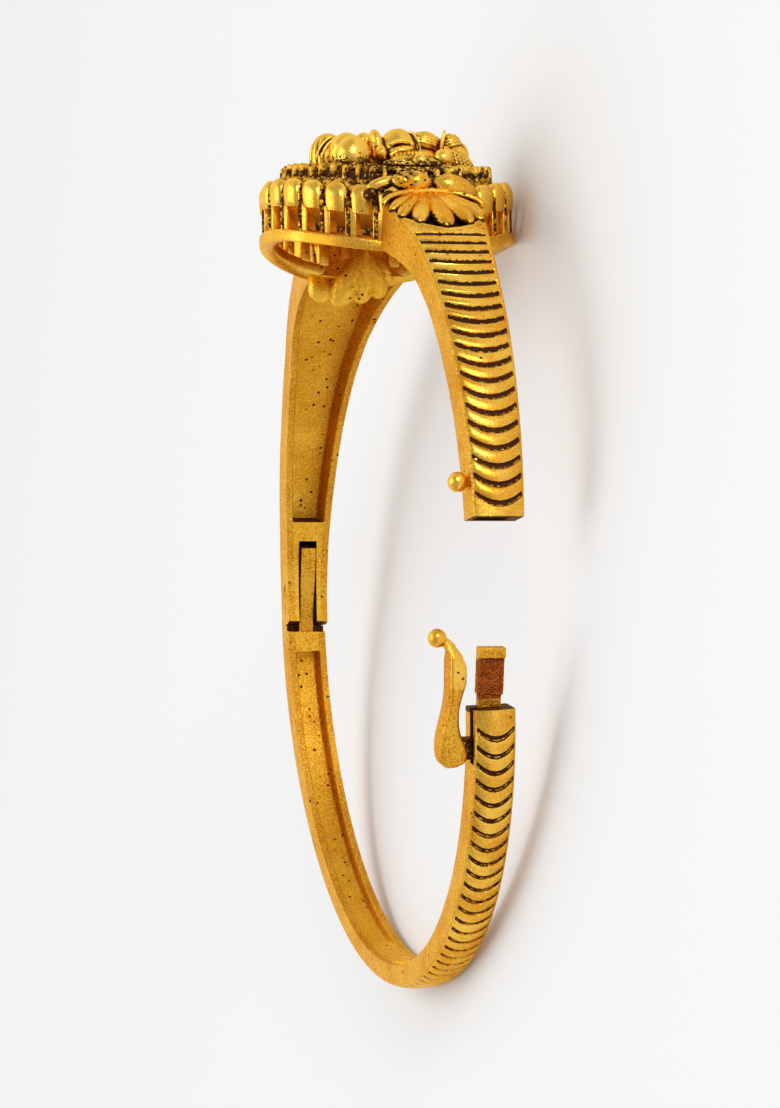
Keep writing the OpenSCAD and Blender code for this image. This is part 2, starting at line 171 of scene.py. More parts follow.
def noise(tree, place, scale, detail=3.0, rough=0.55):
    return add_node(tree, "TexNoise", Scale=scale, Detail=detail, Roughness=rough, Vector=place)["Fac"]


def new_group(name, inputs, outputs):
    """A node group that takes a Place and numbers and gives numbers."""
    group = bpy.data.node_groups.new(name, "ShaderNodeTree")
    group.interface.new_socket("Place", in_out="INPUT", socket_type="NodeSocketVector")
    for label, value in inputs.items():
        socket = group.interface.new_socket(label, in_out="INPUT", socket_type="NodeSocketFloat")
        socket.default_value = value
    for label in outputs:
        group.interface.new_socket(label, in_out="OUTPUT", socket_type="NodeSocketFloat")
    return group, group.nodes.new("NodeGroupInput").outputs, group.nodes.new("NodeGroupOutput").inputs


# Noise scales, per metre
CLOUDS, SPECKS = 1700.0, 3200.0
GRAINS, WAVES, TONES, PIT_CELLS, PIT_PATCHES = 6500.0, 700.0, 260.0, 1350.0, 330.0


def tarnish_and_shade_group():
    """Dark tarnish, and painted shade where Groove carries it: Hollow and Groove in, Mask out, breaking up into
    specks where it thins out.
    """
    group, take, give = new_group(
        "groove_tarnish_and_shade", {"Hollow": 0.0, "Start": 0.2, "Full": 0.6, "Cloud": 0.25, "Groove": 0.0}, ["Mask"])
    cloud = noise(group, take["Place"], CLOUDS, 4.0)
    value = plus(group, take["Hollow"], times(group, minus(group, cloud, 0.5), take["Cloud"]))
    span = minus(group, take["Full"], take["Start"])
    mask = reckon(group, "DIVIDE", minus(group, value, take["Start"]), span, clamp=True)
    # Half-dark grooves are thrown to one side or the other by the specks
    groove = take["Groove"]
    specks = minus(group, noise(group, take["Place"], SPECKS, 2.0), 0.5)
    between = times(group, groove, minus(group, 1.0, groove))
    broken = plus(group, groove, times(group, times(group, specks, 10.0), between))
    broken = plus(group, times(group, broken, 3.0), -1.0, clamp=True)
    feed(group, give["Mask"], reckon(group, "MAXIMUM", mask, broken))
    return group


def grain_group():
    """Sand-cast skin: fine grains, wider waves and a few pits."""
    group, take, give = new_group(
        "cast_grain", {"Grain": 1.0, "Wave": 1.0, "Pit": 1.0}, ["Height", "Pits", "Tone", "Fleck"])
    place = take["Place"]
    fine = noise(group, place, GRAINS, 2.0, 0.6)
    spots = add_node(group, "TexVoronoi", Scale=PIT_CELLS, Randomness=1.0, Vector=place)["Distance"]
    crowd = plus(group, noise(group, place, PIT_PATCHES, 2.0), times(group, take["Pit"], 0.05))
    pits = times(group, ranged(group, spots, 0.10, 0.22, 1.0, 0.0), ranged(group, crowd, 0.60, 0.66))
    height = plus(group, times(group, fine, take["Grain"]),
            times(group, noise(group, place, WAVES, 3.0), take["Wave"]))
    feed(group, give["Height"], minus(group, height, times(group, pits, 1.5)))
    feed(group, give["Pits"], pits)
    feed(group, give["Tone"], noise(group, place, TONES, 4.0, 0.6))
    feed(group, give["Fleck"], times(group, minus(group, fine, 0.5), take["Grain"]))
    return group


TARNISH_AND_SHADE = tarnish_and_shade_group()
GRAIN = grain_group()
EDGE_TINT = (1.0, 0.82, 0.5, 1.0)
# The dark colour of tarnish, also used for painted shade in gaps, behind parts and under them
OXIDE_AND_SHADE = (0.072, 0.024, 0.01, 1.0)
BUMP_HEIGHT = 0.00006
ROUGH_SPREAD, DARK_ROUGH = 0.12, 0.3
RUBBED = 1.12


def antique_gold(name, bright, deep, roughness, start, full, grain, wave, pit, bump, cloud):
    """Cast gold plate: bright on what stands proud, deeper between, nearly black in the hollows and where
    painted shade is marked.
    """
    material = bpy.data.materials.new(name)
    material.use_nodes = True
    tree = material.node_tree
    shader = tree.nodes["Principled BSDF"].inputs
    shader["Metallic"].default_value = 1.0
    shader["Specular Tint"].default_value = EDGE_TINT
    place = add_node(tree, "TexCoord")["Object"]
    hollow = add_node(tree, "Attribute", {"attribute_name": "hollow"})["Fac"]
    groove = add_node(tree, "Attribute", {"attribute_name": "groove"})["Fac"]
    grains = add_node(tree, "Group", {"node_tree": GRAIN}, Place=place, Grain=grain, Wave=wave, Pit=pit)
    tarnish = add_node(tree, "Group", {"node_tree": TARNISH_AND_SHADE}, Place=place, Hollow=hollow, Start=start,
            Full=full, Cloud=cloud, Groove=groove)
    # Tarnish, pits and the painted shade marked on the pieces all darken towards one colour
    dark = reckon(tree, "MAXIMUM", tarnish["Mask"], grains["Pits"])
    patchy = plus(tree, grains["Tone"], grains["Fleck"])
    base = blend_colours(tree, ranged(tree, patchy, 0.3, 0.75), bright, deep)
    rubbed = tuple(min(1.0, c * RUBBED) for c in bright[:3]) + (1.0,)
    base = blend_colours(tree, times(tree, ranged(tree, hollow, 0.0, -0.5), 0.6), base, rubbed)
    feed(tree, shader["Base Color"], blend_colours(tree, dark, base, OXIDE_AND_SHADE))
    rough = ranged(tree, grains["Tone"], 0.3, 0.75, roughness, roughness + ROUGH_SPREAD)
    feed(tree, shader["Roughness"], plus(tree, rough, times(tree, dark, DARK_ROUGH), clamp=True))
    bumps = add_node(tree, "Bump", Strength=bump, Distance=BUMP_HEIGHT, Height=grains["Height"])
    feed(tree, shader["Normal"], bumps["Normal"])
    return material


GOLD, GOLD_DEEP = (0.95, 0.58, 0.085, 1.0), (0.74, 0.31, 0.018, 1.0)
# Each finish: bright and deep colour, roughness, hollow where tarnish starts and where it is
# full, grain, waves, pits, bump, and how cloudy the tarnish is
polished, satin, sand_cast, speckled, worn_gold, darker_gold, gap_shade = (antique_gold(*finish) for finish in (
    ("polished_gold", GOLD, GOLD_DEEP, 0.20, 0.12, 0.40, 0.8, 0.6, 0.5, 0.4, 0.6),
    ("satin_gold", (0.84, 0.46, 0.045, 1.0), (0.6, 0.23, 0.012, 1.0), 0.3, 0.2, 0.6, 2.4, 0.5, 1.2, 0.6,
     0.25),
    ("sand_cast_gold", (0.95, 0.55, 0.055, 1.0), (0.76, 0.35, 0.018, 1.0), 0.32, 0.35, 0.9, 2.4, 0.4, 3.8,
     0.5, 0.25),
    ("speckled_gold", GOLD, GOLD_DEEP, 0.28, -0.02, 0.12, 1.8, 1.0, 2.0, 0.8, 1.1),
    ("worn_gold", (0.52, 0.13, 0.02, 1.0), (0.26, 0.05, 0.01, 1.0), 0.4, 0.0, 0.3, 3.0, 1.4, 2.6, 1.0, 1.0),
    # A darker gold, used as painted shade on the lever's left side and also on the walls of the bands' hollow
    # backs
    ("darker_gold", (0.78, 0.36, 0.03, 1.0), (0.5, 0.18, 0.012, 1.0), 0.34, 0.2, 0.7, 2.8, 0.6, 2.0, 0.7, 0.8),
    # Black gold: painted shade for narrow gaps and sockets
    ("gap_shade_gold", (0.12, 0.04, 0.012, 1.0), (0.05, 0.016, 0.006, 1.0), 0.5, 0.0, 0.4, 2.0, 1.0, 1.0, 0.8,
     0.8)))


# Modelling helpers. Pieces are shaped standing up, in millimetres, and laid down at the end.
MESH = bpy.ops.mesh
STAY = Matrix.Identity(4)


def start():
    """Object mode with nothing selected."""
    if bpy.context.mode != "OBJECT":
        bpy.ops.object.mode_set(mode="OBJECT")
    bpy.ops.object.select_all(action="DESELECT")


def only(piece):
    """Selects one object and nothing else."""
    start()
    piece.select_set(True)
    bpy.context.view_layer.objects.active = piece


def edited(piece, *steps):
    """Runs operators on a whole mesh; each step is an operator and its settings."""
    only(piece)
    bpy.ops.object.mode_set(mode="EDIT")
    for operator, settings in steps:
        MESH.select_all(action="SELECT")
        operator(**settings)
    bpy.ops.object.mode_set(mode="OBJECT")


def primitive(operator, **settings):
    """A new mesh from an operator, its place, turn and scale applied."""
    start()
    operator(**settings)
    bpy.ops.object.transform_apply(location=True, rotation=True, scale=True)
    return bpy.context.object


def ball(segments, rings, radius=1.0, middle=(0, 0, 0), turn=(0, 0, 0)):
    return primitive(MESH.primitive_uv_sphere_add, segments=segments, ring_count=rings,
            radius=radius, location=middle, rotation=turn)


def block(middle, size):
    """A box given by its middle and its size."""
    return primitive(MESH.primitive_cube_add, size=1.0, location=middle, scale=size)


def box(low, high, place=STAY):
    """A box given by its corners."""
    piece = block([(a + b) / 2 for a, b in zip(low, high)], [b - a for a, b in zip(low, high)])
    piece.data.transform(place)
    return piece


def rod(x, z, radius, length, place=STAY):
    """A cylinder along Y through x, z."""
    piece = primitive(MESH.primitive_cylinder_add, vertices=64, radius=radius, depth=length,
            location=(x, 0, z), rotation=(pi / 2, 0, 0))
    piece.data.transform(place)
    return piece


def finish_modifier(piece, kind, **values):
    """Adds a modifier, sets it and applies it."""
    only(piece)
    modifier = piece.modifiers.new(kind.lower(), kind)
    for key, value in values.items():
        setattr(modifier, key, value)
    bpy.ops.object.modifier_apply(modifier=modifier.name)


def bevel(piece, width, segments):
    finish_modifier(piece, "BEVEL", width=width, segments=segments, limit_method="ANGLE")


def combine(piece, other, operation="DIFFERENCE"):
    """Cuts other out of the piece, or melts it on, and throws other away."""
    finish_modifier(piece, "BOOLEAN", operation=operation, object=other, solver="EXACT")
    bpy.data.objects.remove(other, do_unlink=True)


def joined(name, pieces):
    """One object of several."""
    only(pieces[0])
    for piece in pieces[1:]:
        piece.select_set(True)
    bpy.ops.object.join()
    pieces[0].name = name
    return pieces[0]


def points_of(piece):
    place = np.empty(len(piece.data.vertices) * 3)
    piece.data.vertices.foreach_get("co", place)
    return place.reshape(-1, 3)


def set_points(piece, place):
    piece.data.vertices.foreach_set("co", np.asarray(place, float).reshape(-1))
    piece.data.update()


def mark(piece, name, values):
    """Stores a number for each point."""
    layer = piece.data.attributes.get(name) or piece.data.attributes.new(name, "FLOAT", "POINT")
    layer.data.foreach_set("value", np.asarray(values).astype(np.float32))


def darken(piece, value):
    """Stores how dark each point is, from 0 to 1: old polish and tarnish on some pieces, painted shade in gaps
    and under parts on others.
    """
    mark(piece, "groove", np.clip(value, 0, 1) * np.ones(len(piece.data.vertices)))


def bent_grid(name, rings, finishes=None, closed=False):
    """A grid bent through cross-sections that close on themselves; finishes holds the material
    number of each strip along the sections, and an open grid gets a face at each end. The fourth
    number of a point, if it has one, is how dark it is."""
    rows = list(rings) + ([rings[0]] if closed else [])
    across, along = len(rows[0]), len(rows) - 1
    start()
    MESH.primitive_grid_add(x_subdivisions=across, y_subdivisions=along, size=2.0)
    piece = bpy.context.object
    piece.name = name
    flat = points_of(piece)
    column = np.rint((flat[:, 0] + 1.0) / 2.0 * across).astype(int)
    row = np.rint((flat[:, 1] + 1.0) / 2.0 * along).astype(int)
    table = np.array(rows, float)[row, column % across]
    set_points(piece, table[:, :3])
    if table.shape[1] > 3:
        darken(piece, table[:, 3])
    if finishes:
        strips = np.array([column[list(face.vertices)].min() for face in piece.data.polygons])
        piece.data.polygons.foreach_set("material_index", np.array(finishes)[strips].astype(np.int32))
    ends = [] if closed else [(MESH.fill_holes, {"sides": 0})]
    edited(piece, (MESH.remove_doubles, {"threshold": 1e-5}), *ends,
           (MESH.normals_make_consistent, {"inside": False}))
    return piece


def hollow_mask(piece, rounds, gain):
    """Stores how far each point lies in a hollow (above 0) or stands proud (below 0)."""
    mesh = piece.data
    count = len(mesh.vertices)
    place = points_of(piece)
    normal = np.empty(count * 3)
    mesh.vertices.foreach_get("normal", normal)
    normal = normal.reshape(-1, 3)
    pairs = np.empty(len(mesh.edges) * 2, np.int64)
    mesh.edges.foreach_get("vertices", pairs)
    a, b = pairs.reshape(-1, 2).T
    degree = np.bincount(a, minlength=count) + np.bincount(b, minlength=count)
    smooth = place.copy()
    for _ in range(rounds):
        total = np.empty_like(smooth)
        for axis in range(3):
            total[:, axis] = np.bincount(a, smooth[b, axis], count) + np.bincount(b, smooth[a, axis], count)
        smooth = 0.5 * smooth + 0.5 * total / np.maximum(degree, 1)[:, None]
    mark(piece, "hollow", ((smooth - place) * normal).sum(1) / 0.1 * gain)


def cast_surface(piece, voxel, rounds, mask_rounds=14, gain=1.0):
    """Melts overlapping forms into one even cast skin, softens it and marks its hollows."""
    finish_modifier(piece, "REMESH", mode="VOXEL", voxel_size=voxel, use_smooth_shade=True)
    finish_modifier(piece, "SMOOTH", factor=0.5, iterations=rounds)
    hollow_mask(piece, mask_rounds, gain)


def cad_form(node, place):
    """A merged copy of a CAD node's mesh, stood up in millimetres."""
    piece = in_scene(node + "_cast", nodes[node].data.copy())
    piece.data.materials.clear()
    piece.data.transform(place.inverted())
    edited(piece, (MESH.remove_doubles, {"threshold": 1e-4}))
    return piece


def lay_down(piece, place, body, node, materials, angle=35.0):
    """Gives a finished piece its materials, its place in the row's frame and its body, and hides its CAD node.
    """
    only(piece)
    finish = np.empty(len(piece.data.polygons), np.int32)
    piece.data.polygons.foreach_get("material_index", finish)
    piece.data.materials.clear()
    for material in materials:
        piece.data.materials.append(material)
    piece.data.polygons.foreach_set("material_index", np.minimum(finish, len(materials) - 1))
    piece.data.transform(place)
    bpy.ops.object.shade_smooth_by_angle(angle=radians(angle))
    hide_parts(node)
    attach(piece, body)
    print(piece.name, len(piece.data.polygons), "faces")


def read_table(table, value):
    places, values = zip(*table)
    return float(np.interp(value, places, values))


# The bands, swept along the oval. Angles run from the clasp side (0) over the medallion (90).
# Each half: its height, its thickness at the ends and in the middle, and its floor's thickness
HALF_W = 30.0
UPPER_H, LOWER_H = 29.1, 25.4
ARM_T, LOWER_W = 2.8, 3.3
UPPER = (UPPER_H, ARM_T, ARM_T, 0.95)
LOWER = (LOWER_H, 2.7, 1.6, 1.5)
MM_PER_DEG = 0.51
WALL = 0.6
CROWN, BOW = 0.42, 0.85
GROOVE_DEPTH, RIB_RISE = 0.26, 0.09
# Across a groove: millimetres from its middle, share of its depth, darkness
GROOVE_ROWS = [(-0.27, 0.0, 0.0), (-0.17, 0.8, 0.5), (-0.02, 1.0, 1.0), (0.13, 0.85, 1.0), (0.2, 0.0, 0.0)]
# The rib between two grooves: share of the way, share of the rise
RIB_ROWS = [(0.28, 0.75), (0.5, 1.0), (0.72, 0.75)]
# Places across the grooved face, as a share of the half width, and how deep a groove is there
FACE = [(-0.91, 0.0), (-0.87, 0.85), (-0.8, 1.0), (-0.68, 1.0), (-0.5, 1.0), (-0.26, 1.0), (0.0, 1.0),
        (0.26, 1.0), (0.5, 1.0), (0.68, 1.0), (0.8, 1.0), (0.87, 0.85), (0.91, 0.0)]
# Up a band's side: share of its thickness, share of the half width
SIDE = [(0.3, 1.0), (0.7, 1.0), (0.93, 1.0), (0.975, 0.99), (1.0, 0.96)]
# By angle from the end: how much wider the grooves get, the arms' widths, how far the inner edge
# sinks and the outer corners droop at the shoulders, and how far the grooves bow
GROOVE_SPREAD = [(24.0, 1.0), (48.0, 1.55)]
NEAR_WIDTH = [(0, 4.0), (20, 4.6), (40, 5.4), (50, 6.2), (58, 7.4), (66, 8.2)]
FAR_WIDTH = [(-8, 3.5), (0, 3.5), (10, 3.8), (20, 4.4), (30, 5.0), (40, 5.8), (50, 7.0), (58, 7.8), (66, 8.2)]
SHOULDER_SINK = [(48, 0.0), (56, 0.8), (66, 2.1), (72, 2.7)]
SHOULDER_DROOP = [(52, 0.0), (58, 0.25), (64, 0.85), (72, 1.1)]
ARM_BOW = [(2.6, 0.0), (5.0, 0.75), (22.0, 0.8), (46.0, 0.4), (52.8, 0.3), (56.2, 2.04), (56.8, 2.14),
        (57.5, 2.25), (60.0, 2.0), (63.0, 1.5), (66.0, 0.75), (69.0, 0.0)]
# The fan's raised lip and the bed its petals lie in: angle, depth, darkness. The bed's darkness is painted
# shade under and between the petals.
LIP_AND_BED = [(56.2, 0.0, 0.3), (56.6, -0.12, 0.0), (57.2, -0.12, 0.0), (57.6, 0.3, 0.8), (58.2, 0.5, 1.0),
        (60.0, 0.55, 1.0), (63.0, 0.5, 1.0), (66.0, 0.4, 1.0), (69.0, 0.3, 1.0)]
# Finishes by number, and the strips of a band: side, face, side and inner edge, hollow back, edge
POLISHED, SATIN, SAND, BLACK, DARKER = range(5)
BAND_METALS = [polished, satin, sand_cast, gap_shade, darker_gold]
BAND_FINISHES = ([SATIN] * 5 + [POLISHED] * 14 + [SATIN] * 6
        + [SAND, DARKER, DARKER, SAND, SAND, SAND, DARKER, DARKER, SAND] + [SATIN])


def band_point(angle, share, y, half):
    """A point of a half: share of its thickness out from the wrist, then the place along the wrist."""
    height, t_end, t_mid, floor_t = half
    a = radians(angle)
    return [(HALF_W + share * t_end) * cos(a), y, (height + share * t_mid) * sin(a), 0.0]


def arm_width(angle):
    return read_table(NEAR_WIDTH, angle) if angle < 90 else read_table(FAR_WIDTH, 180 - angle)


def shoulder_sink(angle):
    return read_table(SHOULDER_SINK, min(angle, 180 - angle))


def shoulder_droop(angle):
    return read_table(SHOULDER_DROOP, min(angle, 180 - angle))


def even(angle):
    return 0.0


def band_ring(angle, width, sunk, droop, depth, dark, bow, hollow, half):
    """One cross-section: inner edge, side, grooved outer face, side, inner edge, hollow back."""
    height, t_end, t_mid, floor_t = half
    t = t_end * abs(cos(radians(angle))) + t_mid * abs(sin(radians(angle)))
    reach = width / 2
    inner = -sunk / t

    def point(share, k, turn=0.0, value=0.0):
        drooped = share - max(0.0, share) * droop * k * k / t
        return band_point(angle + turn, drooped, k * reach, half)[:3] + [value]

    side = [(inner, 1.0)] + SIDE
    ring = [point(share, -k) for share, k in side]
    for k, full in FACE:
        rise = (CROWN * (1 - k * k) - full * depth) / t
        turn = bow * max(0.0, 1 - (k / 0.88) ** 2) / MM_PER_DEG
        ring.append(point(1 + rise, k, turn, full * dark))
    ring += [point(share, k) for share, k in reversed(side)]
    # The hollow back: its mouth, its walls leaning inwards a little, its floor
    mouth = (reach - WALL) / reach
    deep = inner + (1 - floor_t / t - inner) * hollow
    foot = mouth - 0.15 / reach * hollow
    right = [(inner, mouth + 0.06 / reach * hollow), (inner + 0.04 * hollow, mouth),
            (deep - 0.04 * hollow, foot), (deep, foot - 0.12 / reach * hollow), (deep, 0.33 * mouth)]
    return ring + [point(share, k) for share, k in right] + [point(share, -k) for share, k in reversed(right)]


def swept_band(name, first, last, grooves, width, sink, droop, bow, hollows, half, extra=()):
    """A band from angle first to last with its grooves; width, sink, droop and bow are read by
    angle, hollows are (from, to) angles, and extra gives more rows as (angle, depth, darkness)."""
    rows = {first: (0.0, 0.0), last: (0.0, 0.0)}
    rows.update({angle: (depth, dark) for angle, depth, dark in extra})
    for middle in grooves:
        spread = read_table(GROOVE_SPREAD, min(middle, 180.0 - middle))
        for offset, depth, dark in GROOVE_ROWS:
            rows[middle + offset * spread / MM_PER_DEG] = (depth * GROOVE_DEPTH, dark)
    for one, two in zip(sorted(grooves), sorted(grooves)[1:]):
        for share, rise in RIB_ROWS:
            rows[one + (two - one) * share] = (-RIB_RISE * rise, 0.0)
    for one, two in hollows:
        for angle in (one, one + 0.12, two - 0.12, two):
            rows.setdefault(angle, None)
    taken = list(grooves) + [angle for angle, depth, dark in extra]
    angle = first + 2.0
    while angle < last:
        if angle < min(taken) - 0.6 or angle > max(taken) + 0.6:
            rows.setdefault(angle, (0.0, 0.0))
        angle += 2.0
    known = sorted(a for a in rows if rows[a] is not None)
    rings = []
    for angle in sorted(rows):
        depth, dark = rows[angle] or [float(np.interp(angle, known, [rows[a][k] for a in known]))
                for k in (0, 1)]
        hollow = float(any(one + 0.1 < angle < two - 0.1 for one, two in hollows))
        rings.append(band_ring(angle, width(angle), sink(angle), droop(angle), depth, dark, bow(angle),
                hollow, half))
    return bent_grid(name, rings, BAND_FINISHES)


UPPER_A0 = degrees(asin(1.35 / UPPER_H))
FAR_END = 180.0 - degrees(asin(HINGE_SPLIT / UPPER_H)) + 1.6
near_grooves = [m + read_table(ARM_BOW, m + 1.2) / MM_PER_DEG
        for m in (4.39 + 2.641 * k - 0.00882 * k * k for k in range(20))]
near_arm = swept_band("near_arm", UPPER_A0, 72.0, near_grooves, arm_width, shoulder_sink, shoulder_droop,
        lambda a: -read_table(ARM_BOW, a), [(18.66, 66.5)], UPPER, LIP_AND_BED)
# The side towards the lever runs in narrower where the arm meets the tier
place = points_of(near_arm)
turned = np.degrees(np.arctan2(place[:, 2] / UPPER_H, place[:, 0] / HALF_W))
place[:, 1] *= np.where(place[:, 1] < 0, 1.0 - 0.29 * np.clip((turned - 60.0) / 11.0, 0, 1), 1.0)
set_points(near_arm, place)
far_arm = swept_band("far_arm", 108.0, FAR_END, [180.0 - m for m in near_grooves[2:]], arm_width,
        shoulder_sink, shoulder_droop, lambda a: read_table(ARM_BOW, 180.0 - a), [(113.5, 167.2)], UPPER,
        [(180.0 - a, depth, dark) for a, depth, dark in LIP_AND_BED])

LOWER_A0 = 180.0 - degrees(asin(HINGE_SPLIT / LOWER_H)) - 8.0
LOWER_A1 = 360.0 + degrees(asin(1.1 / LOWER_H))
lower_grooves = [359.3 - 2.87 * k for k in range(31)]
lower_grooves += [540.0 - a for a in lower_grooves if 540.0 - a > 198.0]


def lower_bow(angle):
    """The lower grooves bow away from the foot, where they turn over, and not at the ends."""
    foot = min(1.0, abs(angle - 270.0) / 12.0)
    ends = min(1.0, (LOWER_A1 - angle) * MM_PER_DEG / 1.6, (angle - LOWER_A0) * MM_PER_DEG / 1.6)
    return (1.0 if angle < 270 else -1.0) * foot * BOW * ends


lower_half = swept_band("lower_half", LOWER_A0, LOWER_A1, lower_grooves, lambda a: LOWER_W, even, even,
        lower_bow, [(190.5, 263.0), (277.0, 349.0)], LOWER)

# Clasp and hinge ends are cut as on the solids
KNUCKLE_R, TONGUE_W, TONGUE_GAP = 3.0, 1.3, 0.15
PIN_X, PIN_Z = PIN.x, PIN.z
slot = TONGUE_W / 2 + TONGUE_GAP
combine(near_arm, box((HALF_W + 0.35, -1.55, -2.0), (HALF_W + 2.2, 1.05, 6.5)))
waste = box((PIN_X - 6, -5, PIN_Z - 8), (PIN_X + 6, 5, PIN_Z - 1.5))
combine(waste, rod(PIN_X, PIN_Z, KNUCKLE_R, 12))
combine(far_arm, waste)
combine(far_arm, box((-HALF_W - 4.8, -slot, HINGE_SPLIT - 2), (-HALF_W + 2, slot, PIN_Z + 1.2)))
combine(far_arm, box((-HALF_W - 2.2, -slot, PIN_Z), (-HALF_W + 2, slot, PIN_Z + 4.3)))
combine(far_arm, rod(PIN_X, PIN_Z, 0.5, 8))
combine(lower_half, rod(PIN_X, PIN_Z, KNUCKLE_R + 0.06, 12, LEANING))
combine(lower_half, box((-HALF_W - 0.5, -5, PIN_Z - KNUCKLE_R - 0.42), (-HALF_W + 2, 5, PIN_Z - 2), LEANING))
combine(lower_half, box((31.3, -LOWER_W, -3.2), (32.25, -1.2, 3.1)))

# Hinge tongue: a box with its edges rounded, bored for the pin
hinge_tongue = box((-HALF_W - 1.9, -TONGUE_W / 2, HINGE_SPLIT - 1.2), (-HALF_W, TONGUE_W / 2, PIN_Z + 4.0),
        LEANING)
hinge_tongue.name = "hinge_tongue"
bevel(hinge_tongue, 0.12, 3)
combine(hinge_tongue, rod(PIN_X, PIN_Z, 0.54, 8, LEANING))


# Gallery under the medallion: base ring and the petals' tier, bent down along the band
BEND_R = 27.0
RIM_Z0, RIM_Z1, MEDALLION_R = 27.0, 28.0, 10.64
PETAL_Z0, PETAL_Z1, TIER_R = 29.9, 32.35, 8.75
PLATE_Z0, PLATE_Z1 = 31.0, 31.6
TOOTH_R, TOOTH_MID, TOOTH_Z1 = 8.45, 32.6, 33.7
PETALS, TEETH = 28, 48
POST_TURN = Matrix.Rotation(radians(180 / PETALS), 4, "Z")


def polar(r, angle, z):
    """A point of the medallion at radius r, bent down along the band."""
    a = radians(angle)
    x = r * cos(a)
    return [x, r * sin(a), z - x * x / (2 * BEND_R)]


def round_profile(corners, radius, steps=3):
    """A closed outline of (r, z) corners with its corners rounded."""
    outline = []
    for i, corner in enumerate(corners):
        here = Vector(corner)
        before, after = Vector(corners[i - 1]), Vector(corners[(i + 1) % len(corners)])
        reach = min(radius, (before - here).length * 0.45, (after - here).length * 0.45)
        one = here + (before - here).normalized() * reach
        two = here + (after - here).normalized() * reach
        for s in range(steps + 1):
            t = s / steps
            outline.append((one * (1 - t) ** 2 + here * 2 * t * (1 - t) + two * t * t)[:])
    return outline


def oblong(r0, r1, z0, z1):
    return [(r0, z0), (r1, z0), (r1, z1), (r0, z1)]


def turned_ring(name, corners, radius, step):
    """A ring of one outline round the medallion's axis, a section every step degrees."""
    outline = round_profile(corners, radius)
    return bent_grid(name, [[polar(r, a, z) for r, z in outline] for a in np.arange(0, 360, step)], closed=True)


def ring_of(name, piece, count):
    """Copies of a piece all round the medallion's axis, joined and bent down along the band."""
    copies = [in_scene(name, piece.data.copy()) for k in range(count)]
    for k, copy in enumerate(copies):
        copy.data.transform(Matrix.Rotation(2 * pi * k / count, 4, "Z"))
    bpy.data.objects.remove(piece, do_unlink=True)
    whole = joined(name, copies)
    place = points_of(whole)
    place[:, 2] -= place[:, 0] ** 2 / (2 * BEND_R)
    set_points(whole, place)
    return whole


def petal_and_post():
    """One petal of the tier at angle 0 and the post on its left, which stands on the rim."""
    # Half-round column: round outside, flat below, its top domed and falling inwards
    petal = ball(20, 14)
    x, y, z = points_of(petal).T.copy()
    half_width = 2.30 / 2
    new_x = np.sign(x) * np.abs(x) ** 0.75 * 1.05 + 9.55
    new_y = np.sign(y) * np.abs(y) ** 0.72 * half_width
    new_z = np.where(z < 0, np.maximum(z * 2.2, -1.0) * 1.25, z * 1.2)
    new_z -= np.where(z > 0, 0.5 * np.clip(0.35 - x, 0, 1.3) * z, 0.0)
    place = np.stack([new_x, new_y, new_z + (PETAL_Z0 + 1.25)], 1)
    taper = 1.0 - 0.16 * np.clip((10.6 - place[:, 0]) / 2.1, 0, 1)
    place[:, 1] *= taper
    set_points(petal, place)
    # Painted shade: darker towards the sides, where neighbouring petals meet, and on the inner top, in the
    # hollow behind each petal
    edge = (np.abs(place[:, 1]) / (taper * half_width) - 0.78) / 0.18
    darken(petal, np.maximum(edge, np.where(z > 0.2, (-0.05 - x) / 0.5, 0.0)))
    # The post, and a dark strip standing in front of it: painted shade for the post's shaded side and the gap
    # beside it, with some tarnish
    middle, height = (RIM_Z1 + PETAL_Z0) / 2, PETAL_Z0 - RIM_Z1
    post = block((9.75, 0.2, middle + 0.1), (1.15, 0.98, height + 0.5))
    strip = block((10.02, -0.02, middle + 0.45), (0.86, 0.36, height + 1.6))
    for piece in (post, strip):
        bevel(piece, 0.1, 2)
        piece.data.transform(POST_TURN)
    darken(strip, 0.66)
    return joined("petal", [petal, joined("post", [post, strip])])


def tooth_form():
    """One tooth of the raised rim at angle 0, a small upright bar with a rounded crest."""
    tooth = block((TOOTH_R, 0, TOOTH_MID), (0.7, 0.5, 1.9))
    bevel(tooth, 0.16, 3)
    place = points_of(tooth)
    high = np.clip((place[:, 2] - TOOTH_MID) / 0.95, 0, 1)
    place[:, 1] *= 1.0 - 0.55 * high ** 2
    place[:, 0] += 0.1 * (1 - high) * np.sign(place[:, 0] - TOOTH_R)
    set_points(tooth, place)
    # Painted shade: the flanks and the lower part are dark, the crest left bright
    darken(tooth, np.maximum((np.abs(place[:, 1]) - 0.17) / 0.1, 0.9 - (place[:, 2] - 31.7) / 1.3))
    return tooth


base_ring = turned_ring("base_ring", oblong(9.3, MEDALLION_R, RIM_Z0, RIM_Z1), 0.22, 2.5)
petal_tier = ring_of("petal_tier", petal_and_post(), PETALS)
tier_wall = turned_ring("tier_wall", [(8.5, PETAL_Z0 + 0.3), (9.6, PETAL_Z0 + 0.3), (9.6, PETAL_Z1 - 1.2),
        (TIER_R, TOOTH_Z1 - 1.2), (8.0, TOOTH_Z1 - 1.2)], 0.15, 2.5)
# Painted shade, in a wavy mottle, on the wall behind the petals
x, y, z = points_of(tier_wall).T
darken(tier_wall, 0.5 + 0.25 * np.sin(x * 7.1) * np.sin(y * 6.3))
plate = turned_ring("plate", oblong(0.3, TIER_R + 0.2, PLATE_Z0, PLATE_Z1), 0.1, 7.5)
tooth_ring = ring_of("tooth_ring", tooth_form(), TEETH)
# A dark wall behind the teeth: painted shade in the gaps between them
tooth_wall = turned_ring("tooth_wall", oblong(8.0, 8.62, 31.4, TOOTH_Z1 - 0.7), 0.1, 5)
darken(tooth_wall, 0.8)


